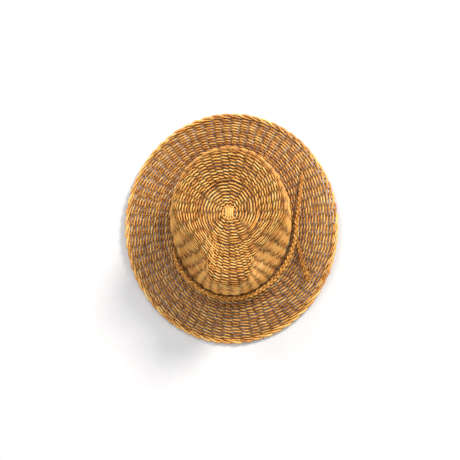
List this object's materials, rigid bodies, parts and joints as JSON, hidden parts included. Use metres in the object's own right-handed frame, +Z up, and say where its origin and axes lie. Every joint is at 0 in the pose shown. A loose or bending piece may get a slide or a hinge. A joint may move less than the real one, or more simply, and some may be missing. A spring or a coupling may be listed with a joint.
{
  "type": "woven wicker sun hat",
  "caption": "Hand-woven wicker hat with a dished, front-pinched oval crown, a wide scallop-bordered brim, and a loose plaited band round the front with two tails at one side.",
  "frame": {"origin": "on the surface that the brim rests on, under the middle of the hat", "axes": "+Z up out of the crown, -Y to the front (the pinched end), +X to the wearer's left, where the band's tails lie"},
  "size_m": [0.3206, 0.3544, 0.1231],
  "materials": {
    "crown_cane": "peeled vine cane, golden tan",
    "brim_cane": "peeled vine cane, brown tan",
    "plait": "flat plaited straw, orange tan",
    "binding_cane": "thin wound cane",
    "cotton_tape": "cotton tape",
    "thread": "waxed thread"
  },
  "bodies": {
    "hat": {"long_canes": "crown_cane", "wide_canes": "crown_cane", "crown_stakes": "crown_cane", "crown_start_weave": "crown_cane", "crown_top_weave": "crown_cane", "crown_side_weave": "crown_cane", "brim_stakes": "brim_cane", "brim_weave": "brim_cane", "brim_border": "brim_cane", "sweatband": "cotton_tape", "sweatband_stitches": "thread"},
    "band": {"hat_band": "plait", "band_binding": "binding_cane"},
    "upper_tail_end": {"upper_tail": "plait", "upper_tail_binding": "binding_cane"},
    "lower_tail_end": {"lower_tail": "plait", "lower_tail_binding": "binding_cane"}
  },
  "joints": [
    {"name": "band_lift", "type": "hinge", "parent": "hat", "child": "band", "pos_m": [0.09724, 0.00399, 0.0231], "axis": [-0.971, -0.239, -0.0008], "range_deg": [0, 6]},
    {"name": "upper_tail_lift", "type": "hinge", "parent": "hat", "child": "upper_tail_end", "pos_m": [0.09852, 0.00687, 0.02336], "axis": [1, 0, 0], "range_deg": [0, 60]},
    {"name": "lower_tail_lift", "type": "hinge", "parent": "hat", "child": "lower_tail_end", "pos_m": [0.09982, -0.03097, 0.02022], "axis": [-1, 0, 0], "range_deg": [0, 60]}
  ]
}
